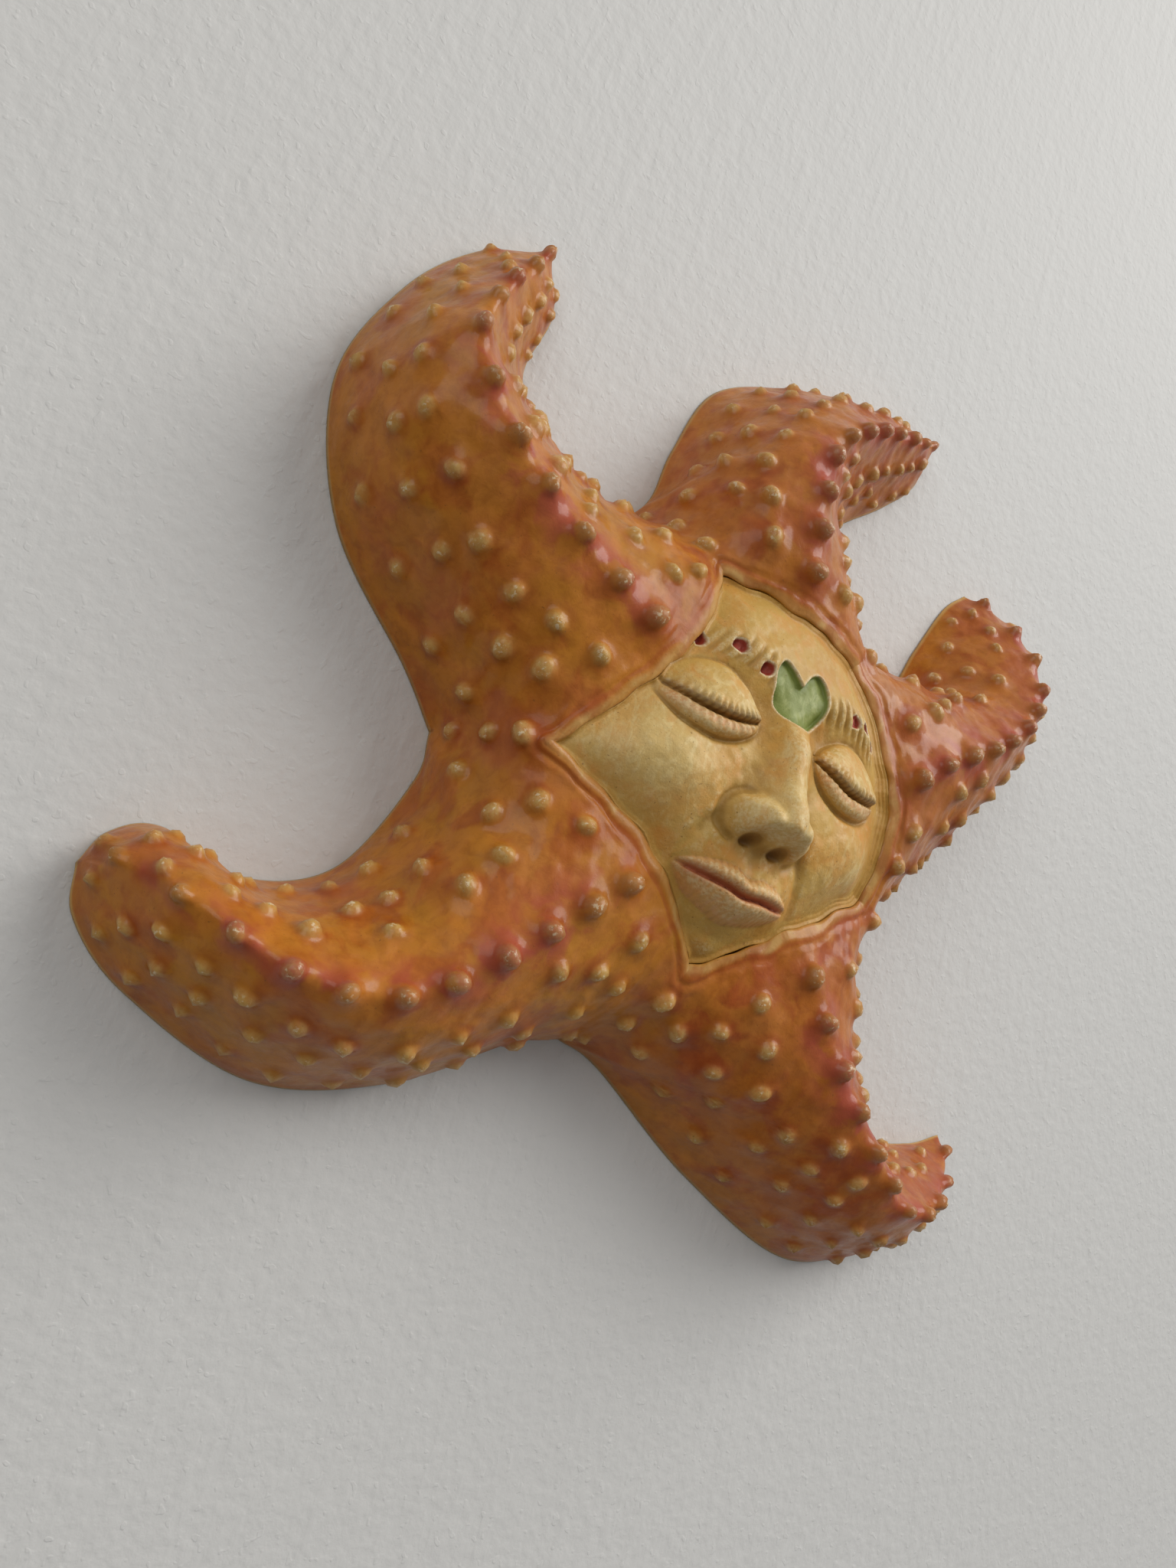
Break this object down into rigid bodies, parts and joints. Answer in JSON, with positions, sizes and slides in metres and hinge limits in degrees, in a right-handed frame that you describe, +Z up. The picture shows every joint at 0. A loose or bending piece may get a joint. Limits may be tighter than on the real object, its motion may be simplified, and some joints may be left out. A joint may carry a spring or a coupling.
{
  "type": "starfish wall sculpture",
  "caption": "Glossy painted starfish relief with lumpy, curled arms folded round a calm sleeping face, flat-backed for hanging on a wall.",
  "frame": {"origin": "on the flat back, behind the middle of the face", "axes": "+Y out of the flat back into the wall, -Y the way the face looks, +Z up along the face, +X to the right as the front is seen"},
  "size_m": [0.2581, 0.0573, 0.243],
  "materials": {
    "orange_glaze": "glossy amber-orange glaze washed with red, pale tops on the lumps",
    "ochre_glaze": "satin ochre glaze, dry-brushed cream, brown in the hollows"
  },
  "bodies": {
    "root": {"starfish_body": "orange_glaze", "face": "ochre_glaze"}
  },
  "joints": []
}
